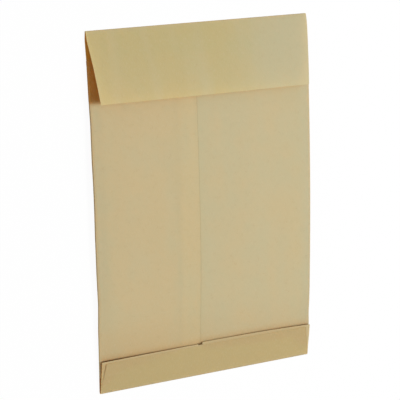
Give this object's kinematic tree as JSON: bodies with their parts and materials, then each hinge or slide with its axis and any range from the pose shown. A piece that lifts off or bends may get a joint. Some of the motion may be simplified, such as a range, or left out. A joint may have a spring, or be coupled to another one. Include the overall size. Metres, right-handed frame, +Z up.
{
  "type": "gusseted paper envelope",
  "caption": "Manila paper envelope with side gussets and a block bottom, folded flat, its top flap folded loosely over the seam side.",
  "frame": {"origin": "middle of the envelope's width and length, on the surface that it lies on", "axes": "+X across the width, +Y along the length towards the top flap, +Z up out of the seam side"},
  "size_m": [0.254, 0.381, 0.0193],
  "materials": {
    "manila_paper": "matt uncoated manila paper with faint fibres"
  },
  "bodies": {
    "root": {"envelope": "manila_paper"}
  },
  "joints": []
}
